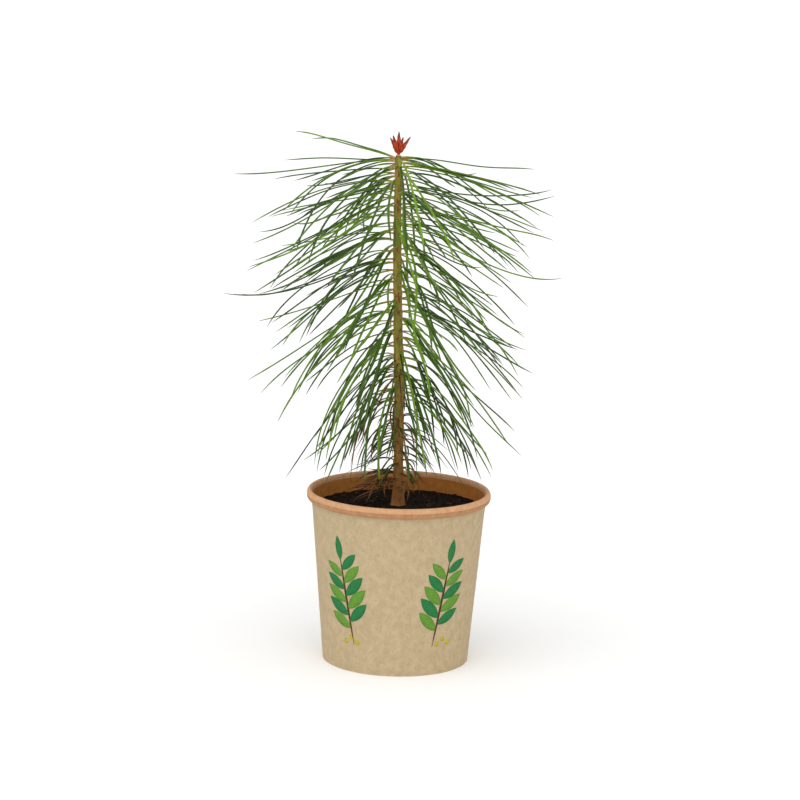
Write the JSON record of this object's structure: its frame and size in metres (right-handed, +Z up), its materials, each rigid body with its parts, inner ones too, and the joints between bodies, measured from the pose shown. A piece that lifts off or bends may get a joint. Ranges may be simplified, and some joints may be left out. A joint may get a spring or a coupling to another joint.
{
  "type": "potted scots pine",
  "caption": "Young Scots pine sapling with long arching needles on one upright stem, growing in a round kraft-paper cup of compost.",
  "frame": {"origin": "middle of the cup's flat underside", "axes": "+Z up along the cup's axis, -Y towards the front view"},
  "size_m": [0.1615, 0.151, 0.2596],
  "materials": {
    "kraft_board": "matt uncoated kraft paperboard",
    "compost": "damp dark potting compost",
    "green_bark": "olive young bark with brown scars",
    "bud_scales": "red-brown resinous scales",
    "needles": "waxy green needles",
    "juvenile_needles": "thin dull needles, partly dried"
  },
  "bodies": {
    "root": {"bud_cluster": "bud_scales", "cup_base": "kraft_board", "cup_wall": "kraft_board", "juvenile_needles_1": "juvenile_needles", "juvenile_needles_2": "juvenile_needles", "juvenile_needles_3": "juvenile_needles", "juvenile_needles_4": "juvenile_needles", "needles_lower_1": "needles", "needles_lower_2": "needles", "needles_lower_3": "needles", "needles_lower_4": "needles", "needles_lower_5": "needles", "needles_lower_6": "needles", "needles_lower_7": "needles", "needles_lower_8": "needles", "needles_middle_1": "needles", "needles_middle_2": "needles", "needles_middle_3": "needles", "needles_middle_4": "needles", "needles_middle_5": "needles", "needles_middle_6": "needles", "needles_middle_7": "needles", "needles_middle_8": "needles", "needles_top_1": "needles", "needles_top_2": "needles", "needles_top_3": "needles", "needles_top_4": "needles", "needles_top_5": "needles", "needles_top_6": "needles", "needles_top_7": "needles", "needles_top_8": "needles", "soil": "compost", "stem": "green_bark"}
  },
  "joints": []
}
